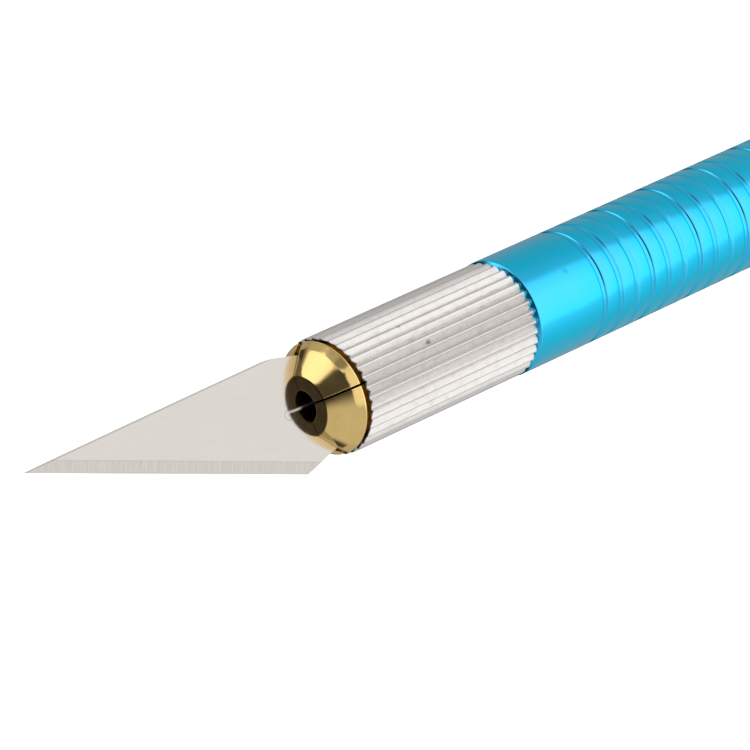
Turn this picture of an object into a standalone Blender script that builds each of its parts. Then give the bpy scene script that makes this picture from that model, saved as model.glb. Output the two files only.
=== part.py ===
"""Hobby craft knife: anodised round handle, fluted clamping sleeve,
four-jaw collet and a pointed, single-edged blade.

Row frame: the knife lies along X with the blade toward -X, +Z up.  The
blade lies flat in the XY plane, cutting edge toward -Y, spine toward +Y.
The origin is at the bottom centre of the box around the whole knife.

All driving dimensions are in millimetres in the knife's own stations:
station 0 is the plane where the sleeve meets the handle, positive stations
run toward the tail, and radii are measured from the knife's long axis.
"""
import math

import bmesh
import bpy
from mathutils import Matrix, Vector

MM = 0.001
WELD = 1.0e-7          # metres, welds only truly coincident points

# --- handle ---------------------------------------------------------------
HANDLE_R = 4.5         # flat-to-axis radius of the barrel
HANDLE_LEN = 103.0
HANDLE_SIDES = 32
HANDLE_FRONT_CHAMFER = (0.20, 0.36)   # along the axis, inward
HANDLE_TAIL_ROUND = 1.1
GROOVE_FIRST = 7.22    # station of the first grip ring
GROOVE_PITCH = 1.796
GROOVE_COUNT = 15
GROOVE_WIDTH = 0.66
GROOVE_FLOOR = 0.40
GROOVE_DEPTHS = (0.15, 0.12, 0.07)   # the set of three repeats

# --- screw thread between collet shank and handle --------------------------
THREAD_LEAD = 0.8
THREAD_SIDES = 20
THREAD_CORE_R = 2.05
THREAD_CREST_R = 2.50
THREAD_CLEAR = 0.06
THREAD_FIRST = 1.0     # station where the male thread starts, collet closed
THREAD_TURNS = 8
TAP_FIRST = THREAD_FIRST - 3 * THREAD_LEAD   # in step with the male thread
TAP_TURNS = 14
BORE_END = 10.6

# --- clamping sleeve -------------------------------------------------------
SLEEVE_R = 4.45        # flat-to-axis radius of the ridges
SLEEVE_FRONT = -17.75
SLEEVE_BACK = -0.05
FLUTES = 35
FLUTE_ROOT_R = 4.12
FLUTE_HALF_WIDTH = 0.355  # at the crests, which stay 0.09 wide
FLUTE_PHASE = 0.75        # turns one flute onto +Z, in fractions of a flute
SLEEVE_BORE_R = 3.50
SLEEVE_MOUTH_R = 4.34  # outside the flute roots, so the flutes notch the lip
SLEEVE_WEB_FRONT = -4.60
HEX_HOLE_AF = 5.36

# --- collet ----------------------------------------------------------------
COLLET_SIDES = 32
SEAT_ANGLE = math.radians(30.0)
SEAT_GAP = 0.05
RIM_R = 4.28
NECK_R = 3.80          # behind the rim, clear of the sleeve's mouth
RIM_BACK = -18.03
RIM_FRONT = -18.15
BAND_FRONT = -18.70
BAND_R = 3.85
NOSE = -20.14
NOSE_R = 2.31
NOSE_HOLE_R = 1.25
NOSE_HOLE_END = -9.0
JAW_R = 3.15
JAW_ROOT = -4.91
SHANK_FRONT = -4.87
HEX_AF = 5.20
HEX_BACK = -0.60
SLIT_HALF_BLADE = 0.28
SLIT_HALF_CROSS = 0.075

# --- blade -----------------------------------------------------------------
BLADE_T = 0.50
TIP = (-45.42, 3.87)
SHOULDER = (-22.01, 4.16)
HEEL = (-22.17, -4.49)
TANG_HALF = 3.0
TANG_END = -5.40
TANG_CORNER = 0.5
BEVEL_WIDTH = 0.87
EDGE_LAND = 0.02
TANG_SLOT_CENTRE = -11.6
TANG_SLOT_LEN = 10.4
TANG_SLOT_W = 2.2

X_SHIFT = -(TIP[0] + HANDLE_LEN) / 2.0
AXIS_Z = HANDLE_R


def row(x, y=0.0, z=0.0):
    """Knife station coordinates in mm to the row frame in metres."""
    return Vector(((x + X_SHIFT) * MM, y * MM, (z + AXIS_Z) * MM))


# --- scene and collections ---------------------------------------------------
for old in list(bpy.data.objects):
    bpy.data.objects.remove(old, do_unlink=True)

parts_coll = bpy.data.collections.new("hobby_craft_knife")
cutters_coll = bpy.data.collections.new("hobby_craft_knife_cutters")
bpy.context.scene.collection.children.link(parts_coll)
bpy.context.scene.collection.children.link(cutters_coll)


def material(name, colour, roughness, metallic):
    mat = bpy.data.materials.new(name)
    mat.use_nodes = True
    bsdf = mat.node_tree.nodes["Principled BSDF"]
    bsdf.inputs["Base Color"].default_value = (*colour, 1.0)
    bsdf.inputs["Roughness"].default_value = roughness
    bsdf.inputs["Metallic"].default_value = metallic
    mat.diffuse_color = (*colour, 1.0)
    return mat


MATS = {
    "blue_anodised": material("blue_anodised_aluminium", (0.015, 0.36, 0.62), 0.22, 1.0),
    "aluminium": material("turned_aluminium", (0.72, 0.71, 0.70), 0.30, 1.0),
    "brass": material("brass", (0.78, 0.56, 0.22), 0.20, 1.0),
    "steel": material("ground_steel", (0.66, 0.64, 0.62), 0.28, 1.0),
}


def new_object(name, mesh, origin, mat=None, cutter=False):
    obj = bpy.data.objects.new(name, mesh)
    obj.location = origin
    if cutter:
        cutters_coll.objects.link(obj)
        obj.hide_render = True
        obj.display_type = 'WIRE'
    else:
        parts_coll.objects.link(obj)
        mesh.materials.append(mat)
    return obj


def turned(name, profile, sides, origin_x, mat=None, cutter=False,
           phase=0.5, closed=False, smooth=True):
    """Turn a (station, radius) profile about the knife's axis.

    The profile runs from the tail end forward along its outer side.  phase
    is the fraction of one side by which the corners are rotated from +Y.
    """
    a = phase * 2.0 * math.pi / sides
    bm = bmesh.new()
    verts = [bm.verts.new(((x - origin_x) * MM, r * MM * math.cos(a), r * MM * math.sin(a)))
             for x, r in profile]
    for u, v in zip(verts, verts[1:]):
        bm.edges.new((u, v))
    if closed:
        bm.edges.new((verts[-1], verts[0]))
    mesh = bpy.data.meshes.new(name)
    bm.to_mesh(mesh)
    bm.free()
    obj = new_object(name, mesh, row(origin_x), mat, cutter)
    screw = obj.modifiers.new("turn", 'SCREW')
    screw.axis = 'X'
    screw.angle = 2.0 * math.pi
    screw.steps = sides
    screw.render_steps = sides
    screw.use_merge_vertices = True
    screw.merge_threshold = WELD
    screw.use_smooth_shade = smooth
    return obj


def boolean(obj, cutter, operation):
    mod = obj.modifiers.new(operation.lower() + "_" + cutter.name, 'BOOLEAN')
    mod.operation = operation
    mod.solver = 'EXACT'
    mod.object = cutter
    return mod


def prism(name, section, length, origin, direction, up, mat=None, cutter=True):
    """Extrude a closed (u, v) outline in mm along a direction.

    u runs along cross(direction, up) and v along up.
    """
    d = Vector(direction).normalized()
    v_axis = Vector(up).normalized()
    u_axis = v_axis.cross(d).normalized()
    bm = bmesh.new()
    near = [bm.verts.new((u_axis * u + v_axis * v) * MM) for u, v in section]
    face = bm.faces.new(near)
    out = bmesh.ops.extrude_face_region(bm, geom=[face])
    moved = [g for g in out["geom"] if isinstance(g, bmesh.types.BMVert)]
    bmesh.ops.translate(bm, verts=moved, vec=d * (length * MM))
    bmesh.ops.recalc_face_normals(bm, faces=bm.faces[:])
    mesh = bpy.data.meshes.new(name)
    bm.to_mesh(mesh)
    bm.free()
    return new_object(name, mesh, origin, mat, cutter)


def block(name, low, high):
    """A box cutter between two corners given in knife stations."""
    bm = bmesh.new()
    bmesh.ops.create_cube(bm, size=1.0)
    size = [(h - l) * MM for l, h in zip(low, high)]
    bmesh.ops.scale(bm, vec=size, verts=bm.verts[:])
    mesh = bpy.data.meshes.new(name)
    bm.to_mesh(mesh)
    bm.free()
    centre = [(l + h) / 2.0 for l, h in zip(low, high)]
    return new_object(name, mesh, row(*centre), cutter=True)


def hexagon_bar(name, across_flats, x0, x1):
    r = across_flats / 2.0 / math.cos(math.pi / 6.0)
    section = [(r * math.cos(math.pi / 3.0 * k), r * math.sin(math.pi / 3.0 * k))
               for k in range(6)]
    return prism(name, section, x1 - x0, row(x0), (1, 0, 0), (0, 0, 1))


def helical_ridge(name, x_first, turns, r_in, half_in, r_out, half_out):
    """A right-hand screw ridge of trapezoid section, capped at both ends."""
    bm = bmesh.new()
    section = [(-half_in, r_in), (half_in, r_in), (half_out, r_out), (-half_out, r_out)]
    verts = [bm.verts.new((x * MM, r * MM, 0.0)) for x, r in section]
    for k in range(4):
        bm.edges.new((verts[k], verts[(k + 1) % 4]))
    mesh = bpy.data.meshes.new(name + "_section")
    bm.to_mesh(mesh)
    bm.free()
    tool = new_object(name + "_section", mesh, row(x_first), cutter=True)
    screw = tool.modifiers.new("thread", 'SCREW')
    screw.axis = 'X'
    screw.angle = 2.0 * math.pi
    screw.screw_offset = THREAD_LEAD * MM
    screw.iterations = turns
    screw.steps = THREAD_SIDES
    screw.render_steps = THREAD_SIDES
    screw.use_smooth_shade = False
    bpy.context.view_layer.update()
    swept = bpy.data.meshes.new_from_object(
        tool.evaluated_get(bpy.context.evaluated_depsgraph_get()))
    bm = bmesh.new()
    bm.from_mesh(swept)
    bmesh.ops.remove_doubles(bm, verts=bm.verts[:], dist=WELD)
    open_edges = [e for e in bm.edges if len(e.link_faces) == 1]
    bmesh.ops.holes_fill(bm, edges=open_edges, sides=4)
    bmesh.ops.recalc_face_normals(bm, faces=bm.faces[:])
    out = bpy.data.meshes.new(name)
    bm.to_mesh(out)
    bm.free()
    bpy.data.objects.remove(tool, do_unlink=True)
    bpy.data.meshes.remove(swept)
    return new_object(name, out, row(x_first), cutter=True)


# --- handle barrel -------------------------------------------------------------
corner = 1.0 / math.cos(math.pi / HANDLE_SIDES)   # flat radius to corner radius


def quarter_round(x_end, r_full, radius, count=4):
    """Points of the rounded tail corner, from the tail side to the front side."""
    pts = []
    for k in range(count + 1):
        t = math.radians(90.0) * k / count
        pts.append((x_end - radius + radius * math.cos(t),
                    r_full - radius + radius * math.sin(t)))
    return pts


handle_profile = [(HANDLE_LEN, 0.0)]
handle_profile += [(x, r * corner) for x, r in
                   quarter_round(HANDLE_LEN, HANDLE_R, HANDLE_TAIL_ROUND)]
for k in reversed(range(GROOVE_COUNT)):
    centre = GROOVE_FIRST + GROOVE_PITCH * k
    depth = GROOVE_DEPTHS[k % len(GROOVE_DEPTHS)]
    w = GROOVE_WIDTH / 2.0
    handle_profile += [(centre + w, HANDLE_R * corner),
                       (centre + GROOVE_FLOOR / 2.0, (HANDLE_R - depth) * corner),
                       (centre - GROOVE_FLOOR / 2.0, (HANDLE_R - depth) * corner),
                       (centre - w, HANDLE_R * corner)]
handle_profile += [(x, r * corner) for x, r in
                   [(HANDLE_FRONT_CHAMFER[0] + 0.08, HANDLE_R),
                    (HANDLE_FRONT_CHAMFER[0], HANDLE_R - 0.04),
                    (0.0, HANDLE_R - 0.04 - HANDLE_FRONT_CHAMFER[1])]]
bore_r = THREAD_CORE_R + THREAD_CLEAR
handle_profile += [(0.0, 3.1), (0.55, bore_r + 0.5), (0.95, bore_r),
                   (BORE_END, bore_r), (BORE_END + 1.0, 0.0)]
handle = turned("handle_barrel", handle_profile, HANDLE_SIDES, 0.0, MATS["blue_anodised"])

flank = 0.5333         # change of half width per change of radius on the ridge
tap_out = THREAD_CREST_R + THREAD_CLEAR
tap_in = 2.0
tap_half_out = 0.10
tap = helical_ridge("handle_tap", TAP_FIRST, TAP_TURNS, tap_in,
                    tap_half_out + (tap_out - tap_in) * flank, tap_out, tap_half_out)
boolean(handle, tap, 'DIFFERENCE')

# --- clamping sleeve -------------------------------------------------------------
sleeve_corner = 1.0 / math.cos(math.pi / FLUTES)
mouth_run = (SLEEVE_MOUTH_R - SLEEVE_BORE_R) / math.tan(SEAT_ANGLE)
sleeve_profile = [
    (SLEEVE_BACK, 2.0),
    (SLEEVE_BACK, (SLEEVE_R - 0.14) * sleeve_corner),
    (SLEEVE_BACK - 0.16, SLEEVE_R * sleeve_corner),
    (SLEEVE_FRONT + 0.30, SLEEVE_R * sleeve_corner),
    (SLEEVE_FRONT + 0.08, (SLEEVE_R - 0.02) * sleeve_corner),
    (SLEEVE_FRONT, (SLEEVE_R - 0.05) * sleeve_corner),
    (SLEEVE_FRONT, SLEEVE_MOUTH_R * sleeve_corner),
    (SLEEVE_FRONT + mouth_run, SLEEVE_BORE_R * sleeve_corner),
    (SLEEVE_WEB_FRONT, SLEEVE_BORE_R * sleeve_corner),
    (SLEEVE_WEB_FRONT, 2.0),
]
sleeve = turned("clamping_sleeve", sleeve_profile, FLUTES, 0.0, MATS["aluminium"],
                phase=FLUTE_PHASE, closed=True, smooth=False)


def flute_cutters():
    """V-section prisms along the sleeve, one per flute, in a single mesh."""
    top = SLEEVE_R + 0.3
    half_top = FLUTE_HALF_WIDTH * (top - FLUTE_ROOT_R) / (SLEEVE_R - FLUTE_ROOT_R)
    x0, x1 = SLEEVE_FRONT - 1.0, SLEEVE_BACK + 1.0
    bm = bmesh.new()
    for k in range(FLUTES):
        turn = Matrix.Rotation(2.0 * math.pi * (k + FLUTE_PHASE) / FLUTES, 4, 'X')
        pts = [(FLUTE_ROOT_R, 0.0), (top, half_top), (top, -half_top)]
        near = [bm.verts.new(turn @ Vector((x0 * MM, y * MM, z * MM))) for y, z in pts]
        face = bm.faces.new(near)
        out = bmesh.ops.extrude_face_region(bm, geom=[face])
        moved = [g for g in out["geom"] if isinstance(g, bmesh.types.BMVert)]
        bmesh.ops.translate(bm, verts=moved, vec=Vector(((x1 - x0) * MM, 0.0, 0.0)))
    bmesh.ops.recalc_face_normals(bm, faces=bm.faces[:])
    mesh = bpy.data.meshes.new("sleeve_flute_cutters")
    bm.to_mesh(mesh)
    bm.free()
    return new_object("sleeve_flute_cutters", mesh, row(0.0), cutter=True)


boolean(sleeve, hexagon_bar("sleeve_hex_hole", HEX_HOLE_AF, SLEEVE_WEB_FRONT - 0.5,
                            SLEEVE_BACK + 0.5), 'DIFFERENCE')
boolean(sleeve, flute_cutters(), 'DIFFERENCE')

# --- collet shank ----------------------------------------------------------------
hex_corner_r = HEX_AF / 2.0 / math.cos(math.pi / 6.0) + 0.05
thread_end = THREAD_FIRST + THREAD_TURNS * THREAD_LEAD + 0.5
shank_profile = [
    (thread_end, 0.0),
    (thread_end, THREAD_CORE_R - 0.35),
    (thread_end - 0.35, THREAD_CORE_R),
    (HEX_BACK + 0.35, THREAD_CORE_R),
    (HEX_BACK, THREAD_CORE_R + 0.25),
    (HEX_BACK - 0.10, hex_corner_r - 0.22),
    (HEX_BACK - 0.32, hex_corner_r),
    (SHANK_FRONT, hex_corner_r),
    (SHANK_FRONT, 0.0),
]
shank = turned("collet_shank", shank_profile, THREAD_SIDES, 0.0, MATS["brass"])
boolean(shank, hexagon_bar("collet_hex_bar", HEX_AF, SHANK_FRONT - 1.0, thread_end + 1.0),
        'INTERSECT')
ridge_in = 1.9
ridge_half_out = 0.05
ridge = helical_ridge("collet_thread_ridge", THREAD_FIRST, THREAD_TURNS, ridge_in,
                      ridge_half_out + (THREAD_CREST_R - ridge_in) * flank,
                      THREAD_CREST_R, ridge_half_out)
boolean(shank, ridge, 'UNION')

# --- collet jaws -----------------------------------------------------------------
# The seat cone follows the sleeve's mouth at a constant small distance.
seat_drop = SEAT_GAP / math.cos(SEAT_ANGLE)


def seat_x(r):
    """Station at which the seat cone has a given radius."""
    return SLEEVE_FRONT + (SLEEVE_MOUTH_R - seat_drop - r) / math.tan(SEAT_ANGLE)


jaw_profile = [
    (JAW_ROOT, 0.0),
    (JAW_ROOT, JAW_R),
    (seat_x(JAW_R), JAW_R),
    (seat_x(NECK_R), NECK_R),
    (RIM_BACK + 0.02, NECK_R),
    (RIM_BACK, RIM_R - 0.03),
    (RIM_BACK - 0.03, RIM_R),
    (RIM_FRONT, RIM_R),
    (BAND_FRONT, BAND_R),
    (NOSE + 0.05, NOSE_R + 0.035),
    (NOSE, NOSE_R - 0.04),
    (NOSE, NOSE_HOLE_R + 0.06),
    (NOSE + 0.06, NOSE_HOLE_R),
    (NOSE_HOLE_END, NOSE_HOLE_R),
    (NOSE_HOLE_END + 0.7, 0.0),
]
jaws = {}
for face, sz in (("upper", 1), ("lower", -1)):
    for side, sy in (("spine", 1), ("edge", -1)):
        name = "collet_jaw_" + face + "_" + side + "_side"
        jaw = turned(name, jaw_profile, COLLET_SIDES, JAW_ROOT, MATS["brass"])
        ys = sorted((sy * SLIT_HALF_CROSS, sy * 6.0))
        zs = sorted((sz * SLIT_HALF_BLADE, sz * 6.0))
        quarter = block("quarter_" + face + "_" + side, (-24.0, ys[0], zs[0]),
                        (-2.0, ys[1], zs[1]))
        boolean(jaw, quarter, 'INTERSECT')
        # Flex axis: across the jaw at its root, on its outer surface.
        pivot = Vector((0.0, sy * JAW_R * math.sqrt(0.5) * MM, sz * JAW_R * math.sqrt(0.5) * MM))
        jaw.data.transform(Matrix.Translation(-pivot))
        jaw.location = jaw.location + pivot
        jaws[name] = jaw

# The turning axis of a jaw's Screw passes through the knife's axis, so each
# jaw turns about an empty that stands there.
axis_mark = bpy.data.objects.new("knife_axis", None)
axis_mark.location = row(JAW_ROOT)
parts_coll.objects.link(axis_mark)
axis_mark.empty_display_size = 0.002
for jaw in jaws.values():
    jaw.modifiers["turn"].object = axis_mark

# --- blade -----------------------------------------------------------------------
def blade_outline():
    """Outline in stations, from the tip along the spine and back by the edge."""
    pts = [TIP, (-33.4, 4.03), SHOULDER]
    pts += [(-21.57, 4.12), (-21.05, 4.03), (-20.53, 3.91), (-19.5, 3.68),
            (-18.4, 3.40), (-17.4, 3.12), (-16.6, TANG_HALF)]
    for sy in (1, -1):
        arc = []
        for k in range(4):
            t = math.radians(30.0) * k
            arc.append((TANG_END - TANG_CORNER + TANG_CORNER * math.sin(t),
                        sy * (TANG_HALF - TANG_CORNER + TANG_CORNER * math.cos(t))))
        pts += arc if sy > 0 else arc[::-1]
    pts += [(-16.6, -TANG_HALF), (-17.4, -3.14), (-18.4, -3.50), (-19.2, -3.70),
            (-19.75, -3.80), (-20.3, -3.94), (-20.75, -4.08), (-21.2, -4.22),
            (-21.7, -4.37), HEEL]
    return pts


def blade_mesh():
    bm = bmesh.new()
    face = bm.faces.new([bm.verts.new((x * MM, y * MM, 0.0)) for x, y in blade_outline()])
    if face.normal.z < 0.0:
        face.normal_flip()
    mesh = bpy.data.meshes.new("blade")
    bm.to_mesh(mesh)
    bm.free()
    return mesh


blade = new_object("blade", blade_mesh(), row(0.0), MATS["steel"])
plate = blade.modifiers.new("plate", 'SOLIDIFY')
plate.thickness = BLADE_T * MM
plate.offset = 0.0
plate.use_even_offset = True

# Oblong hole through the tang.
half_l = TANG_SLOT_LEN / 2.0 - TANG_SLOT_W / 2.0
slot_section = []
for k in range(9):
    t = math.radians(-90.0 + 22.5 * k)
    slot_section.append((half_l + TANG_SLOT_W / 2.0 * math.cos(t), TANG_SLOT_W / 2.0 * math.sin(t)))
for k in range(9):
    t = math.radians(90.0 + 22.5 * k)
    slot_section.append((-half_l + TANG_SLOT_W / 2.0 * math.cos(t), TANG_SLOT_W / 2.0 * math.sin(t)))
slot = prism("tang_slot", slot_section, 2.0, row(TANG_SLOT_CENTRE, 0.0, -1.0), (0, 0, 1), (0, 1, 0))
boolean(blade, slot, 'DIFFERENCE')

# Ground bevels: a wedge is taken off each face along the cutting edge.
edge_dir = Vector((HEEL[0] - TIP[0], HEEL[1] - TIP[1], 0.0)).normalized()
inward = Vector((-edge_dir.y, edge_dir.x, 0.0))
slope = (BLADE_T / 2.0 - EDGE_LAND / 2.0) / BEVEL_WIDTH
edge_len = (Vector(HEEL) - Vector(TIP)).length
for face, sz in (("upper", 1), ("lower", -1)):
    v0, v1 = -0.5, BEVEL_WIDTH + 0.4
    z0 = EDGE_LAND / 2.0 + v0 * slope
    z1 = EDGE_LAND / 2.0 + v1 * slope
    section = [(v0, sz * z0), (v1, sz * z1), (v0, sz * z1)]
    start = Vector((TIP[0], TIP[1], 0.0)) - edge_dir * 3.0
    wedge = prism("edge_bevel_" + face, section, edge_len + 6.0, row(*start),
                  edge_dir, (0, 0, 1))
    boolean(blade, wedge, 'DIFFERENCE')

bpy.context.view_layer.update()
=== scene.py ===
"""Looks for the hobby craft knife: fine surfaces, materials, studio, camera."""
import math

import bmesh
import bpy
from mathutils import Matrix, Vector


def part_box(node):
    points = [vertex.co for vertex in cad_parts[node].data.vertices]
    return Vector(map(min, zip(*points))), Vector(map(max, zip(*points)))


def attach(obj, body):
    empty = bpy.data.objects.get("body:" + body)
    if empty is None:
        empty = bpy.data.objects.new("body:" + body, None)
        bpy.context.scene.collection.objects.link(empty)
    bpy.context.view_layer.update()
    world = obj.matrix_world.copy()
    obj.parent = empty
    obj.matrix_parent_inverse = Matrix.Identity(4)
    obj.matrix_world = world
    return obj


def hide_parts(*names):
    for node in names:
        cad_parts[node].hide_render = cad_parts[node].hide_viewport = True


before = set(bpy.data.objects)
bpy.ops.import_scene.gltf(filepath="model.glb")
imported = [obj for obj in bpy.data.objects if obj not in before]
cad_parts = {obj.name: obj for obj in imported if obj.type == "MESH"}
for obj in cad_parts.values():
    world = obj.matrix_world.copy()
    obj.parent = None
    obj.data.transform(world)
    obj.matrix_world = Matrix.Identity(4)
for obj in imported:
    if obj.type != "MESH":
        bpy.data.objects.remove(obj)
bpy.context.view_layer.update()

MM = 0.001

# Stations are millimetres along the knife from the plane where the sleeve
# meets the handle; the knife's axis is at the height of the handle's middle.
h_lo, h_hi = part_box("handle_barrel")
s_lo, s_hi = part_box("clamping_sleeve")
X0 = h_lo.x
AXIS_Z = (h_lo.z + h_hi.z) / 2.0
HANDLE_R = (h_hi.z - h_lo.z) / 2.0 / MM
HANDLE_END = (h_hi.x - X0) / MM
SLEEVE_FRONT = (s_lo.x - X0) / MM
SLEEVE_BACK = (s_hi.x - X0) / MM
MOUTH_R, BORE_R, NOSE = 4.34, 3.50, -20.14
TAN30 = math.tan(math.radians(30.0))


def at(x, y=0.0, z=0.0):
    return Vector((X0 + x * MM, y * MM, AXIS_Z + z * MM))


# ---------------------------------------------------------------------------
# mesh tools
# ---------------------------------------------------------------------------
def finish_mesh(name, bm, mat, body, nodes=(), sharp=32.0):
    bmesh.ops.recalc_face_normals(bm, faces=bm.faces[:])
    mesh = bpy.data.meshes.new(name)
    bm.to_mesh(mesh)
    bm.free()
    mesh.shade_smooth()
    mesh.set_sharp_from_angle(angle=math.radians(sharp))
    mesh.materials.append(mat)
    obj = bpy.data.objects.new(name, mesh)
    bpy.context.scene.collection.objects.link(obj)
    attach(obj, body)
    if nodes:
        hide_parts(*nodes)
    return obj


def lathe(bm, profile, sides, radius_of=None, closed=True):
    """Sweep a (station, radius) profile round the axis as a grid of quads.

    radius_of(x, r, angle) may change the radius with the angle.  The angle
    is measured from +Z toward -Y, in radians.
    """
    rings = []
    for x, r in profile:
        if r < 1e-6:
            rings.append([bm.verts.new(at(x))])
            continue
        ring = []
        for k in range(sides):
            a = 2.0 * math.pi * k / sides
            rr = radius_of(x, r, a) if radius_of else r
            ring.append(bm.verts.new(at(x, -rr * math.sin(a), rr * math.cos(a))))
        rings.append(ring)
    pairs = list(zip(rings, rings[1:]))
    if closed:
        pairs.append((rings[-1], rings[0]))
    for one, two in pairs:
        if len(one) == 1 and len(two) == 1:
            continue
        for k in range(sides):
            j = (k + 1) % sides
            if len(one) == 1:
                bm.faces.new((one[0], two[j], two[k]))
            elif len(two) == 1:
                bm.faces.new((one[k], one[j], two[0]))
            else:
                bm.faces.new((one[k], one[j], two[j], two[k]))


def arc(cx, cr, radius, a0, a1, count):
    """Points of a fillet; angle 0 points to the tail, 90 degrees outward."""
    return [(cx + radius * math.cos(math.radians(a0 + (a1 - a0) * k / count)),
             cr + radius * math.sin(math.radians(a0 + (a1 - a0) * k / count)))
            for k in range(count + 1)]


# ---------------------------------------------------------------------------
# material tools
# ---------------------------------------------------------------------------
class Nodes:
    """Small helper for wiring a node tree."""

    def __init__(self, name):
        self.mat = bpy.data.materials.new(name)
        self.mat.use_nodes = True
        self.tree = self.mat.node_tree
        self.bsdf = self.tree.nodes["Principled BSDF"]

    def node(self, kind, **values):
        n = self.tree.nodes.new(kind)
        for key, value in values.items():
            setattr(n, key, value)
        return n

    def link(self, out, inp):
        self.tree.links.new(out, inp)

    def coords(self, scale=(1.0, 1.0, 1.0), location=(0.0, 0.0, 0.0)):
        """Object coordinates, scaled: object space is in metres."""
        tc = self.node("ShaderNodeTexCoord")
        m = self.node("ShaderNodeMapping")
        m.inputs["Scale"].default_value = scale
        m.inputs["Location"].default_value = location
        self.link(tc.outputs["Object"], m.inputs["Vector"])
        return m.outputs["Vector"]

    def noise(self, vec, scale, detail=3.0, rough=0.5):
        n = self.node("ShaderNodeTexNoise")
        n.inputs["Scale"].default_value = scale
        n.inputs["Detail"].default_value = detail
        n.inputs["Roughness"].default_value = rough
        self.link(vec, n.inputs["Vector"])
        return n.outputs["Fac"]

    def ramp(self, fac, stops):
        r = self.node("ShaderNodeValToRGB")
        els = r.color_ramp.elements
        while len(els) < len(stops):
            els.new(0.5)
        for el, (pos, col) in zip(els, stops):
            el.position = pos
            el.color = col if len(col) == 4 else (*col, 1.0)
        self.link(fac, r.inputs["Fac"])
        return r.outputs["Color"]

    def span(self, fac, lo, hi, f0=0.0, f1=1.0):
        m = self.node("ShaderNodeMapRange")
        m.inputs["From Min"].default_value = f0
        m.inputs["From Max"].default_value = f1
        m.inputs["To Min"].default_value = lo
        m.inputs["To Max"].default_value = hi
        self.link(fac, m.inputs["Value"])
        return m.outputs["Result"]

    def mix(self, fac, a, b, mode='MIX'):
        m = self.node("ShaderNodeMix", data_type='RGBA', blend_type=mode)
        ins = {s.identifier: s for s in m.inputs}
        for ident, val in (("Factor_Float", fac), ("A_Color", a), ("B_Color", b)):
            if isinstance(val, bpy.types.NodeSocket):
                self.link(val, ins[ident])
            elif ident == "Factor_Float":
                ins[ident].default_value = val
            else:
                ins[ident].default_value = (*val, 1.0)
        return [o for o in m.outputs if o.identifier == "Result_Color"][0]

    def math(self, op, a, b=None):
        m = self.node("ShaderNodeMath", operation=op)
        for k, val in enumerate((a, b)):
            if val is None:
                continue
            if isinstance(val, bpy.types.NodeSocket):
                self.link(val, m.inputs[k])
            else:
                m.inputs[k].default_value = val
        return m.outputs[0]

    def specks(self, scale, radius, rare_scale, offset, threshold):
        """A few small round marks: cells of a Voronoi grid, most left out."""
        spot = self.node("ShaderNodeTexVoronoi", feature='F1')
        spot.inputs["Scale"].default_value = scale
        self.link(self.coords((1.0, 1.0, 1.0)), spot.inputs["Vector"])
        rare = self.noise(self.coords((rare_scale,) * 3, offset), 1.0, 0.0)
        return self.math('MULTIPLY', self.span(spot.outputs["Distance"], 1.0, 0.0, radius, radius * 1.6),
                         self.span(rare, 0.0, 1.0, threshold, threshold + 0.02))

    def bump(self, height, strength, distance, normal=None):
        b = self.node("ShaderNodeBump")
        b.inputs["Strength"].default_value = strength
        b.inputs["Distance"].default_value = distance
        self.link(height, b.inputs["Height"])
        if normal is not None:
            self.link(normal, b.inputs["Normal"])
        return b.outputs["Normal"]


def metal(name, roughness):
    n = Nodes(name)
    n.bsdf.inputs["Metallic"].default_value = 1.0
    n.bsdf.inputs["Roughness"].default_value = roughness
    return n


# --- blue anodised aluminium -------------------------------------------------
def blue_anodised():
    n = metal("blue_anodised_aluminium", 0.10)
    fine = n.noise(n.coords((260.0, 900.0, 900.0)), 3.0, 4.0, 0.6)
    cloud = n.noise(n.coords((60.0, 120.0, 120.0)), 1.0, 2.0)
    col = n.ramp(cloud, [(0.25, (1.0, 0.955, 0.980)), (0.75, (1.0, 1.0, 1.0))])
    # The blue is paler, with a touch of red, where the barrel faces the viewer, and purer toward the sides: a
    # painted highlight desaturation laid over the dye's own blue.
    facing = n.node("ShaderNodeLayerWeight")
    facing.inputs["Blend"].default_value = 0.5
    dye_and_painted_sheen = n.ramp(facing.outputs["Facing"], [
        (0.255, (0.066, 0.630, 1.000)), (0.31, (0.036, 0.640, 1.000)),
        (0.40, (0.012, 0.660, 1.000)), (0.52, (0.005, 0.680, 1.000))])
    col = n.mix(1.0, dye_and_painted_sheen, col, 'MULTIPLY')
    # A few small darker specks in the anodised layer.
    mark = n.specks(300.0, 0.07, 140.0, (2.7, 5.1, 0.6), 0.60)
    col = n.mix(n.math('MULTIPLY', mark, 0.35), col, (0.004, 0.280, 0.520))
    n.link(col, n.bsdf.inputs["Base Color"])
    n.link(n.span(fine, 0.13, 0.19, 0.3, 0.7), n.bsdf.inputs["Roughness"])
    # Fine turning marks run round the barrel under the anodising.
    lines = n.noise(n.coords((9000.0, 12.0, 12.0)), 1.0, 3.0, 0.6)
    n.link(n.bump(lines, 0.08, 0.00002), n.bsdf.inputs["Normal"])
    return n.mat


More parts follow.
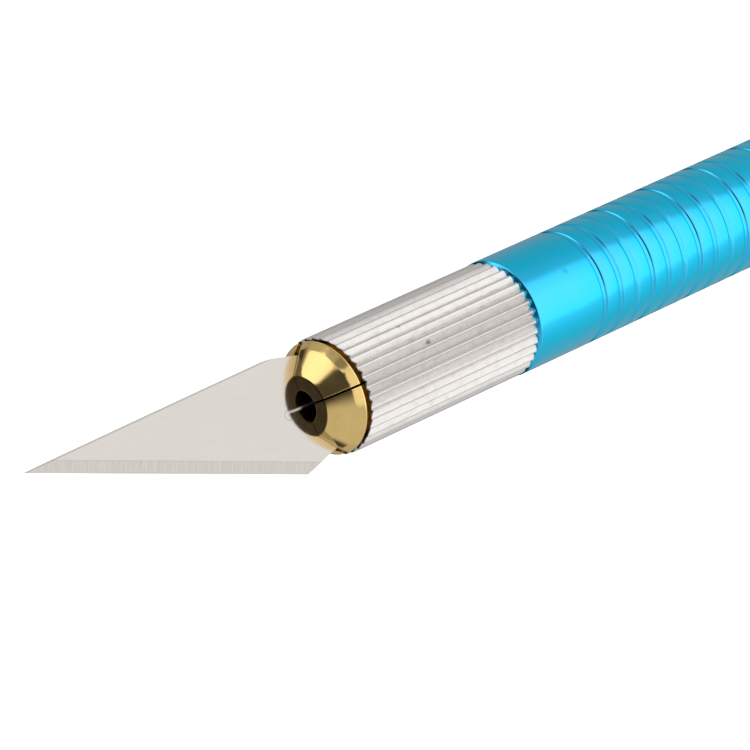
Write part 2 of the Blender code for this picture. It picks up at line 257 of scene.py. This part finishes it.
# --- bare machined aluminium ---------------------------------------------------
def machined_aluminium():
    n = metal("machined_aluminium", 0.30)
    streak = n.noise(n.coords((40.0, 2600.0, 2600.0)), 1.0, 4.0, 0.65)
    grain = n.noise(n.coords((1500.0, 2600.0, 2600.0)), 1.0, 3.0, 0.6)
    col = n.ramp(streak, [(0.25, (0.68, 0.652, 0.628)), (0.75, (0.76, 0.732, 0.708))])
    col = n.mix(n.span(grain, 0.0, 0.45, 0.50, 0.80), col, (0.50, 0.475, 0.452))
    # A few small nicks from handling.
    nick = n.specks(620.0, 0.10, 330.0, (7.3, 1.9, 4.1), 0.60)
    col = n.mix(n.math('MULTIPLY', nick, 0.55), col, (0.22, 0.20, 0.185))
    # Painted shade: the notches where the flutes run out through the front lip, in the shaded gap under the
    # brass rim, are painted a dark brass-brown, weaker toward +Y.
    tc = n.node("ShaderNodeTexCoord")
    sep = n.node("ShaderNodeSeparateXYZ")
    n.link(tc.outputs["Object"], sep.inputs[0])
    back = n.math('MULTIPLY', n.math('SUBTRACT', sep.outputs[0], at(SLEEVE_FRONT).x), 1000.0)
    up = n.math('SUBTRACT', sep.outputs[2], AXIS_Z)
    rad = n.math('SQRT', n.math('ADD', n.math('MULTIPLY', up, up),
                                n.math('MULTIPLY', sep.outputs[1], sep.outputs[1])))
    over = n.math('ADD', n.math('MULTIPLY', rad, 1000.0), n.math('MULTIPLY', back, TAN30))
    notch_painted_shade = n.math('MULTIPLY', n.span(over, 0.0, 1.0, MOUTH_R + 0.001, MOUTH_R + 0.006),
                   n.span(over, 1.0, 0.0, MOUTH_R + 0.05, MOUTH_R + 0.10))
    notch_painted_shade = n.math('MULTIPLY', notch_painted_shade, n.span(sep.outputs[1], 0.93, 0.30, 0.0008, 0.0030))
    col = n.mix(notch_painted_shade, col, (0.045, 0.030, 0.018))
    n.link(col, n.bsdf.inputs["Base Color"])
    n.link(n.span(grain, 0.26, 0.36, 0.3, 0.7), n.bsdf.inputs["Roughness"])
    nrm = n.bump(streak, 0.25, 0.00002)
    nrm = n.bump(grain, 0.12, 0.00001, nrm)
    n.link(nrm, n.bsdf.inputs["Normal"])
    return n.mat


# --- turned brass ------------------------------------------------------------------
def turned_brass(name="turned_brass", base=(0.93, 0.67, 0.262)):
    n = metal(name, 0.09)
    # Rings left by the lathe.
    rings = n.noise(n.coords((5200.0, 30.0, 30.0)), 1.0, 3.0, 0.6)
    cloud = n.noise(n.coords((900.0, 900.0, 900.0)), 1.0, 3.0)
    dark = tuple(0.90 * c for c in base)
    col = n.ramp(cloud, [(0.3, dark), (0.7, base)])
    # Painted dark reflection: the flat nose face is painted a dark brown, deepening the dark it mirrors from
    # the front.
    tc = n.node("ShaderNodeTexCoord")
    sep = n.node("ShaderNodeSeparateXYZ")
    n.link(tc.outputs["Object"], sep.inputs[0])
    face = n.span(sep.outputs[0], 1.0, 0.0, at(NOSE + 0.02).x, at(NOSE + 0.06).x)
    col = n.mix(n.math('MULTIPLY', face, 0.9), col, (0.122, 0.080, 0.041))
    n.link(col, n.bsdf.inputs["Base Color"])
    n.link(n.span(cloud, 0.10, 0.15, 0.3, 0.7), n.bsdf.inputs["Roughness"])
    n.link(n.bump(rings, 0.10, 0.00001), n.bsdf.inputs["Normal"])
    return n.mat


# --- ground steel --------------------------------------------------------------------
def plane_distance(n, obj, point, direction):
    """Distance in mm from a plane through a point, along a direction that lies
    in the blade, worked out in the blade's own coordinates."""
    inv = obj.matrix_world.inverted()
    local_p = inv @ point
    local_d = (inv.to_3x3() @ direction).normalized()
    tc = n.node("ShaderNodeTexCoord")
    dot = n.node("ShaderNodeVectorMath", operation='DOT_PRODUCT')
    n.link(tc.outputs["Object"], dot.inputs[0])
    dot.inputs[1].default_value = local_d
    return n.math('MULTIPLY', n.math('SUBTRACT', dot.outputs["Value"], local_p.dot(local_d)), 1000.0)


def ground_steel(obj):
    n = metal("ground_steel", 0.11)
    # fine grinding along the length of the flat
    marks = n.noise(n.coords((420.0, 3400.0, 500.0)), 1.0, 5.0, 0.75)
    blot = n.noise(n.coords((260.0, 300.0, 300.0)), 1.0, 3.0)
    flat = n.ramp(marks, [(0.3, FLAT_LO), (0.7, FLAT_HI)])
    flat = n.mix(n.span(blot, 0.0, 0.25, 0.45, 0.75), flat, tuple(0.95 * c for c in FLAT_LO))
    # the bevel along the cutting edge, ground across
    edge = Vector((HEEL[0] - TIP[0], HEEL[1] - TIP[1], 0.0)).normalized()
    inward = Vector((-edge.y, edge.x, 0.0))
    d = plane_distance(n, obj, at(*TIP), inward)
    along = plane_distance(n, obj, at(*TIP), edge)
    comb = n.node("ShaderNodeCombineXYZ")
    n.link(n.math('MULTIPLY', along, 5.5), comb.inputs[0])
    n.link(n.math('MULTIPLY', d, 0.6), comb.inputs[1])
    cross = n.noise(comb.outputs[0], 1.0, 4.0, 0.6)
    bev = n.ramp(cross, [(0.3, tuple(0.84 * c for c in FLAT_LO)), (0.7, tuple(0.93 * c for c in FLAT_HI))])
    mask = n.span(d, 1.0, 0.0, BEVEL_W - 0.03, BEVEL_W + 0.03)
    col = n.mix(mask, flat, bev)
    # the bevel's upper limit shows as a faint darker line
    line = n.math('SUBTRACT', 1.0, n.math('MULTIPLY', n.math('ABSOLUTE', n.math('SUBTRACT', d, BEVEL_W)), 14.0))
    line = n.math('MAXIMUM', line, 0.0)
    col = n.mix(n.math('MULTIPLY', line, 0.35), col, (0.36, 0.34, 0.31))
    # a thin dull line along the spine
    spine_dir = Vector((SHOULDER[0] - TIP[0], SHOULDER[1] - TIP[1], 0.0)).normalized()
    s = plane_distance(n, obj, at(*TIP), Vector((spine_dir.y, -spine_dir.x, 0.0)))
    spine = n.span(s, 1.0, 0.0, 0.07, 0.13)
    col = n.mix(n.math('MULTIPLY', spine, 0.45), col, (0.27, 0.26, 0.245))
    # a faint darker ring on the blade just in front of the collet
    u = plane_distance(n, obj, at(-21.93, -0.10), Vector((1.0, 0.0, 0.0)))
    v = plane_distance(n, obj, at(-21.93, -0.10), Vector((0.0, 1.0, 0.0)))
    rad = n.math('SQRT', n.math('ADD', n.math('MULTIPLY', u, u), n.math('MULTIPLY', v, v)))
    ring = n.math('SUBTRACT', 1.0, n.math('MULTIPLY', n.math('ABSOLUTE', n.math('SUBTRACT', rad, 0.34)), 12.0))
    col = n.mix(n.math('MULTIPLY', n.math('MAXIMUM', ring, 0.0), 0.38), col, (0.22, 0.21, 0.20))
    n.link(col, n.bsdf.inputs["Base Color"])
    rough = n.span(marks, 0.09, 0.13, 0.3, 0.7)
    n.link(rough, n.bsdf.inputs["Roughness"])
    n.link(n.bump(marks, 0.05, 0.00001), n.bsdf.inputs["Normal"])
    return n.mat


MAT_BLUE = blue_anodised()
MAT_ALU = machined_aluminium()
MAT_BRASS = turned_brass()

# ---------------------------------------------------------------------------
# handle barrel
# ---------------------------------------------------------------------------
GROOVE_FIRST, GROOVE_PITCH, GROOVE_COUNT = 7.22, 1.796, 15
GROOVE_DEPTHS = (0.15, 0.12, 0.07)
GROOVE_HALF, GROOVE_REAR, GROOVE_FRONT, GROOVE_STEPS, GROOVE_FILL = 0.33, 0.15, 0.05, 10, 0.86
TAIL_ROUND = 1.1


def handle_profile():
    pts = [(HANDLE_END, 0.0), (HANDLE_END, 2.0)]
    pts += arc(HANDLE_END - TAIL_ROUND, HANDLE_R - TAIL_ROUND, TAIL_ROUND, 0.0, 90.0, 14)
    x = HANDLE_END - TAIL_ROUND
    last = GROOVE_FIRST + GROOVE_PITCH * (GROOVE_COUNT - 1)
    while x - 4.0 > last + 1.0:
        x -= 4.0
        pts.append((x, HANDLE_R))
    for k in reversed(range(GROOVE_COUNT)):
        # a shallow trough: narrow floor, S-shaped walls, the rear one steeper
        c = GROOVE_FIRST + GROOVE_PITCH * k
        d = GROOVE_DEPTHS[k % 3] * GROOVE_FILL
        steps = [step / GROOVE_STEPS for step in range(GROOVE_STEPS + 1)]
        for t in steps:
            pts.append((c + GROOVE_HALF - (GROOVE_HALF - GROOVE_REAR) * t,
                        HANDLE_R - d * t * t * (3.0 - 2.0 * t)))
        for t in reversed(steps):
            pts.append((c - GROOVE_HALF + (GROOVE_HALF - GROOVE_FRONT) * t,
                        HANDLE_R - d * t * t * (3.0 - 2.0 * t)))
    pts.append((GROOVE_FIRST - 2.5, HANDLE_R))
    pts.append((2.0, HANDLE_R))
    pts += [(0.34, HANDLE_R), (0.28, HANDLE_R - 0.004), (0.24, HANDLE_R - 0.016),
            (0.20, HANDLE_R - 0.042), (0.17, HANDLE_R - 0.090),
            (0.02, HANDLE_R - 0.364), (0.005, HANDLE_R - 0.395), (0.0, HANDLE_R - 0.42)]
    pts += [(0.0, 3.1), (0.55, 2.62), (0.95, 2.58), (10.2, 2.58), (11.4, 0.0)]
    return pts


bm = bmesh.new()
lathe(bm, handle_profile(), 256, closed=False)
handle = finish_mesh("handle_barrel_fine", bm, MAT_BLUE, "handle",
                     ["handle_barrel"], sharp=40.0)

# ---------------------------------------------------------------------------
# clamping sleeve
# ---------------------------------------------------------------------------
FLUTES = 35
CREST_R, ROOT_R = 4.45, 4.12
PER = 2.0 * math.pi / FLUTES
STEPS = 16                      # samples per flute


def flute_r(u):
    """Radius across one flute, u from -0.5 to 0.5 with the root at 0."""
    t = abs(u) * 2.0
    # straight flanks, a small flat crest and a tight root
    e0, e1 = 0.05, 0.89
    if t < e0:
        return ROOT_R + 0.02 * (t / e0) ** 2
    if t > e1:
        k = (t - e1) / (1.0 - e1)
        return CREST_R - 0.012 * (1.0 - k) ** 2
    return ROOT_R + 0.02 + (CREST_R - 0.012 - ROOT_R - 0.02) * (t - e0) / (e1 - e0)


U = [-0.5, -0.47, -0.445, -0.34, -0.22, -0.12, -0.055, -0.025, 0.0,
     0.025, 0.055, 0.12, 0.22, 0.34, 0.445, 0.47]


def sleeve_envelope(x):
    """Largest radius allowed at a station: the turned corners."""
    front = x - SLEEVE_FRONT
    back = SLEEVE_BACK - x
    r = CREST_R
    if front < 0.34:
        k = (0.34 - max(front, 0.0)) / 0.34
        r = min(r, CREST_R - 0.055 * k ** 1.7)
    if back < 0.16:
        r = min(r, CREST_R - 0.14 * ((0.16 - max(back, 0.0)) / 0.16) ** 1.5)
    return r


def build_sleeve():
    """The flutes run out through the mouth's cone, so the lip is notched: each
    column of the mesh starts where its own radius meets that cone."""
    bm = bmesh.new()
    n = FLUTES * len(U)
    angles, radii, starts = [], [], []
    for k in range(FLUTES):
        for u in U:
            angles.append((k + u) * PER)
            radii.append(flute_r(u))
            starts.append(SLEEVE_FRONT + max(0.0, (MOUTH_R - radii[-1]) / TAN30))
    front_s = [0.0, 0.03, 0.07, 0.12, 0.18, 0.25, 0.33, 0.42, 0.52, 0.64, 0.80, 1.0]
    join = SLEEVE_FRONT + 0.75
    rows = []
    for s in front_s:
        rows.append([x0 + (join - x0) * s for x0 in starts])
    for k in range(1, 17):
        rows.append([join + (SLEEVE_BACK - 0.25 - join) * k / 16.0] * n)
    for v in (0.16, 0.12, 0.08, 0.04, 0.015, 0.0):
        rows.append([SLEEVE_BACK - v] * n)
    rings = []
    for xs in rows:
        ring = []
        for x, a, r in zip(xs, angles, radii):
            rr = min(r, sleeve_envelope(x))
            ring.append(bm.verts.new(at(x, -rr * math.sin(a), rr * math.cos(a))))
        rings.append(ring)
    for one, two in zip(rings, rings[1:]):
        for k in range(n):
            j = (k + 1) % n
            bm.faces.new((one[k], two[k], two[j], one[j]))
    # inside: mouth cone, bore, web with a hexagonal hole
    hexa = [5.36 / 2.0 / math.cos(((a + math.pi / 6.0) % (math.pi / 3.0)) - math.pi / 6.0) for a in angles]
    lip = [(x, min(MOUTH_R, r, sleeve_envelope(x))) for x, r in zip(starts, radii)]
    bore_x = SLEEVE_FRONT + (MOUTH_R - BORE_R) / TAN30
    stations = [lip, [(bore_x, BORE_R)] * n, [(-4.60, BORE_R)] * n,
                [(-4.60, h) for h in hexa], [(SLEEVE_BACK, h) for h in hexa]]
    prev = rings[0]
    for points in stations:
        ring = [bm.verts.new(at(x, -r * math.sin(a), r * math.cos(a)))
                for (x, r), a in zip(points, angles)]
        for k in range(n):
            j = (k + 1) % n
            bm.faces.new((prev[k], prev[j], ring[j], ring[k]))
        prev = ring
    for k in range(n):
        j = (k + 1) % n
        bm.faces.new((prev[k], prev[j], rings[-1][j], rings[-1][k]))
    bmesh.ops.remove_doubles(bm, verts=bm.verts[:], dist=0.0002 * MM)
    return bm


sleeve = finish_mesh("clamping_sleeve_fine", build_sleeve(), MAT_ALU, "sleeve",
                     ["clamping_sleeve"], sharp=24.0)

# ---------------------------------------------------------------------------
# collet jaws
# ---------------------------------------------------------------------------
JAW_ROOT = -4.91
SLIT_B, SLIT_C = 0.28, 0.075     # half widths of the blade slit and the cross slit
RIM_R, NECK_R, NOSE_R, HOLE_R = 4.28, 3.80, 2.31, 1.25


def jaw_outer():
    """Outer profile of a jaw from its root to the edge of the nose hole."""
    seat_x = lambda r: SLEEVE_FRONT + (MOUTH_R - 0.0578 - r) / TAN30
    pts = [(JAW_ROOT, 3.15), (-10.0, 3.15), (seat_x(3.15), 3.15), (seat_x(NECK_R), NECK_R),
           (-18.00, NECK_R), (-18.02, NECK_R + 0.006), (-18.03, NECK_R + 0.03),
           (-18.03, RIM_R - 0.05), (-18.04, RIM_R - 0.02), (-18.06, RIM_R), (-18.13, RIM_R),
           (-18.155, RIM_R - 0.006)]
    # band cone, main cone, both with softened edges
    a, b = (-18.70, 3.85), (NOSE, NOSE_R)
    pts += [(-18.19, RIM_R - 0.034), (-18.45, RIM_R - 0.237), (-18.67, 3.877), (-18.70, 3.849),
            (-18.73, 3.82)]
    for k in range(1, 7):
        t = k / 7.0
        pts.append((-18.73 + (NOSE + 0.05 + 18.73) * t, 3.82 + (NOSE_R + 0.045 - 3.82) * t))
    pts += [(NOSE + 0.05, NOSE_R + 0.045), (NOSE + 0.015, NOSE_R - 0.002),
            (NOSE, NOSE_R - 0.045), (NOSE, NOSE_R - 0.06), (NOSE, 1.8),
            (NOSE, HOLE_R + 0.065), (NOSE, HOLE_R + 0.05),
            (NOSE + 0.015, HOLE_R + 0.015), (NOSE + 0.05, HOLE_R)]
    return pts


def build_jaw(sy, sz):
    """One quarter of the collet between its two slits, with softened edges."""
    outer = jaw_outer()
    inner = [(-19.5, HOLE_R), (-15.0, HOLE_R), (-9.0, HOLE_R), (-8.5, 0.6), (JAW_ROOT, 0.6)]
    loop = outer + inner
    e = 0.022                     # edge softening in mm
    cols = 30
    bm = bmesh.new()
    grid = []
    for x, r in loop:
        row_pts = []
        # from the blade slit (z = SLIT_B) round to the cross slit (y = SLIT_C)
        t0 = math.asin((SLIT_B + e) / r)
        t1 = math.acos((SLIT_C + e) / r)
        row_pts.append((math.sqrt((r - e) ** 2 - SLIT_B ** 2), SLIT_B))
        row_pts.append((math.sqrt((r - 0.3 * e) ** 2 - (SLIT_B + 0.3 * e) ** 2), SLIT_B + 0.3 * e))
        for k in range(cols + 1):
            t = t0 + (t1 - t0) * k / cols
            row_pts.append((r * math.cos(t), r * math.sin(t)))
        row_pts.append((SLIT_C + 0.3 * e, math.sqrt((r - 0.3 * e) ** 2 - (SLIT_C + 0.3 * e) ** 2)))
        row_pts.append((SLIT_C, math.sqrt((r - e) ** 2 - SLIT_C ** 2)))
        grid.append([bm.verts.new(at(x, sy * y, sz * z)) for y, z in row_pts])
    m = len(grid[0])
    for i in range(len(grid)):
        j = (i + 1) % len(grid)
        for k in range(m - 1):
            bm.faces.new((grid[i][k], grid[i][k + 1], grid[j][k + 1], grid[j][k]))
    # the two flat faces along the slits
    for k in (0, m - 1):
        ring = [row_[k] for row_ in grid]
        edges = []
        for u, v in zip(ring, ring[1:] + ring[:1]):
            edge = bm.edges.get((u, v)) or bm.edges.new((u, v))
            edges.append(edge)
        bmesh.ops.triangle_fill(bm, use_beauty=True, edges=edges)
    return bm


for face, sz in (("upper", 1), ("lower", -1)):
    for side, sy in (("spine", 1), ("edge", -1)):
        node = "collet_jaw_%s_%s_side" % (face, side)
        finish_mesh(node + "_fine", build_jaw(sy, sz), MAT_BRASS,
                    "jaw_%s_%s" % (face, side), [node], sharp=28.0)

# ---------------------------------------------------------------------------
# collet shank: the CAD solid stays, in brass
# ---------------------------------------------------------------------------
def dress(node, *mats):
    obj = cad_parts[node]
    obj.data.materials.clear()
    for m in mats:
        obj.data.materials.append(m)
    return obj


dress("collet_shank", MAT_BRASS)

# ---------------------------------------------------------------------------
# blade
# ---------------------------------------------------------------------------
TIP, SHOULDER, HEEL, BEVEL_W = (-45.42, 3.87), (-22.01, 4.16), (-22.17, -4.49), 0.87
FLAT_LO, FLAT_HI = (0.533, 0.505, 0.468), (0.556, 0.528, 0.491)
dress("blade", ground_steel(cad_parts["blade"]))

# ---------------------------------------------------------------------------
# floor, light, camera
# ---------------------------------------------------------------------------
def floor():
    n = Nodes("pale_floor")
    n.bsdf.inputs["Base Color"].default_value = (0.85, 0.85, 0.85, 1.0)
    n.bsdf.inputs["Roughness"].default_value = 0.9
    n.bsdf.inputs["Emission Color"].default_value = (1.0, 1.0, 1.0, 1.0)
    n.bsdf.inputs["Emission Strength"].default_value = 0.85
    bm = bmesh.new()
    bmesh.ops.create_grid(bm, x_segments=8, y_segments=8, size=4.0)
    mesh = bpy.data.meshes.new("studio_floor")
    bm.to_mesh(mesh)
    bm.free()
    mesh.materials.append(n.mat)
    obj = bpy.data.objects.new("studio_floor", mesh)
    obj.location = (0.0, 0.0, h_lo.z - 0.00002)
    bpy.context.scene.collection.objects.link(obj)
    obj.visible_glossy = False
    return obj


floor()


def studio_world():
    """A pale tent: a long bright panel over the knife, dimmer sides, and a
    dark opening in front where the camera stands."""
    world = bpy.data.worlds.new("studio")
    world.use_nodes = True
    t = world.node_tree
    for node in list(t.nodes):
        t.nodes.remove(node)

    def node(kind, **values):
        n = t.nodes.new(kind)
        for key, value in values.items():
            setattr(n, key, value)
        return n

    def calc(op, a, b=None, c=None):
        m = node("ShaderNodeMath", operation=op)
        for k, val in enumerate((a, b, c)):
            if val is None:
                continue
            if isinstance(val, bpy.types.NodeSocket):
                t.links.new(val, m.inputs[k])
            else:
                m.inputs[k].default_value = val
        return m.outputs[0]

    def smooth(x, lo, hi, out0=0.0, out1=1.0):
        m = node("ShaderNodeMapRange", interpolation_type='SMOOTHSTEP')
        t.links.new(x, m.inputs["Value"])
        for key, val in (("From Min", lo), ("From Max", hi), ("To Min", out0), ("To Max", out1)):
            m.inputs[key].default_value = val
        return m.outputs["Result"]

    tc = node("ShaderNodeTexCoord")
    sep = node("ShaderNodeSeparateXYZ")
    t.links.new(tc.outputs["Generated"], sep.inputs[0])
    dx, dy, dz = sep.outputs
    psi = calc('MULTIPLY', calc('ARCTAN2', calc('MULTIPLY', dy, -1.0), dz), 180.0 / math.pi)
    # level round the knife's axis: psi 0 is overhead, positive toward -Y
    ramp = node("ShaderNodeValToRGB")
    turn = node("ShaderNodeMapRange")
    t.links.new(psi, turn.inputs["Value"])
    turn.inputs["From Min"].default_value = -180.0
    turn.inputs["From Max"].default_value = 180.0
    t.links.new(turn.outputs["Result"], ramp.inputs["Fac"])
    levels = [(-180, 0.30), (-130, 0.44), (-110, 0.48), (-90, 0.52), (-70, 0.58), (-52, 0.65),
              (-45, 0.67), (-35, 1.12), (-20, 1.22), (-5, 1.31), (42, 1.30), (48, 0.98), (60, 0.84), (70, 0.76),
              (90, 0.62), (110, 0.56), (130, 0.50), (180, 0.30)]
    els = ramp.color_ramp.elements
    while len(els) < len(levels):
        els.new(0.5)
    for el, (p, v) in zip(els, levels):
        el.position = (p + 180.0) / 360.0
        el.color = (v / 2.0, v / 2.0, v / 2.0, 1.0)
    side = ramp.outputs["Color"]
    bw = node("ShaderNodeRGBToBW")
    t.links.new(side, bw.inputs[0])
    level = calc('MULTIPLY', bw.outputs[0], 2.0)
    # front half: azimuth from -X toward +Y, and elevation
    az = calc('MULTIPLY', calc('ARCTAN2', dy, calc('MULTIPLY', dx, -1.0)), 180.0 / math.pi)
    el_ = calc('MULTIPLY', calc('ARCSINE', dz), 180.0 / math.pi)
    front = smooth(dx, -0.02, -0.12)

    def zone(level, value, *edges):
        """Blend a level in over a zone of the front half."""
        mask = front
        for x, lo, hi in edges:
            mask = calc('MULTIPLY', mask, smooth(x, lo, hi))
        return calc('ADD', level, calc('MULTIPLY', mask, calc('SUBTRACT', value, level)))

    # the panel's near end is softer, and its edge side is plain
    level = zone(level, 1.0, (el_, 36.0, 42.0))
    level = zone(level, 0.62, (az, -3.0, -9.0), (el_, 44.0, 37.0))
    # dark below the knife in front, and a dark opening where the camera stands
    level = zone(level, 0.05, (el_, -27.0, -36.0))
    brow = calc('ADD', el_, calc('MULTIPLY', calc('ABSOLUTE', az), 0.2))
    level = zone(level, 0.07, (az, -36.0, -7.0), (az, 39.0, 35.0), (brow, 52.6, 51.0))
    # a dim patch on the spine side, with a bright window below it
    level = zone(level, 0.25, (az, 41.0, 46.0), (az, 90.0, 80.0), (el_, 20.0, 26.0), (el_, 49.0, 44.0))
    top = calc('ADD', el_, calc('MULTIPLY', az, 0.6))
    level = zone(level, 0.45, (az, 50.0, 56.0), (az, 74.0, 68.0), (top, 43.0, 47.0), (el_, 27.0, 24.0))
    level = zone(level, 1.42, (az, 37.0, 41.0), (az, 71.0, 67.0), (el_, -30.0, -24.0), (top, 47.0, 43.0))
    # behind the tail the tent is plain
    tail = smooth(dx, 0.93, 0.97)
    level = calc('ADD', level, calc('MULTIPLY', tail, calc('SUBTRACT', 0.36, level)))
    bg = node("ShaderNodeBackground")
    bg.inputs["Color"].default_value = (1.0, 1.0, 1.0, 1.0)
    t.links.new(level, bg.inputs["Strength"])
    out = node("ShaderNodeOutputWorld")
    t.links.new(bg.outputs[0], out.inputs["Surface"])
    bpy.context.scene.world = world


studio_world()

cam_data = bpy.data.cameras.new("camera")
cam = bpy.data.objects.new("camera", cam_data)
bpy.context.scene.collection.objects.link(cam)
cam_data.sensor_width = 36.0
cam_data.lens = 264.0
right = Vector((0.69002155, -0.38426894, 0.61335768))
up = Vector((0.3155734, 0.92236325, 0.22284403))
back = Vector((-0.65137062, 0.03979219, 0.75771558))
pos = at(-271.0427, 15.7439, 300.4106)
cam.matrix_world = Matrix((
    (right.x, up.x, back.x, pos.x),
    (right.y, up.y, back.y, pos.y),
    (right.z, up.z, back.z, pos.z),
    (0.0, 0.0, 0.0, 1.0)))
cam_data.clip_start, cam_data.clip_end = 0.01, 20.0
bpy.context.scene.camera = cam
bpy.context.scene.view_settings.view_transform = 'Standard'
bpy.context.scene.view_settings.look = 'None'
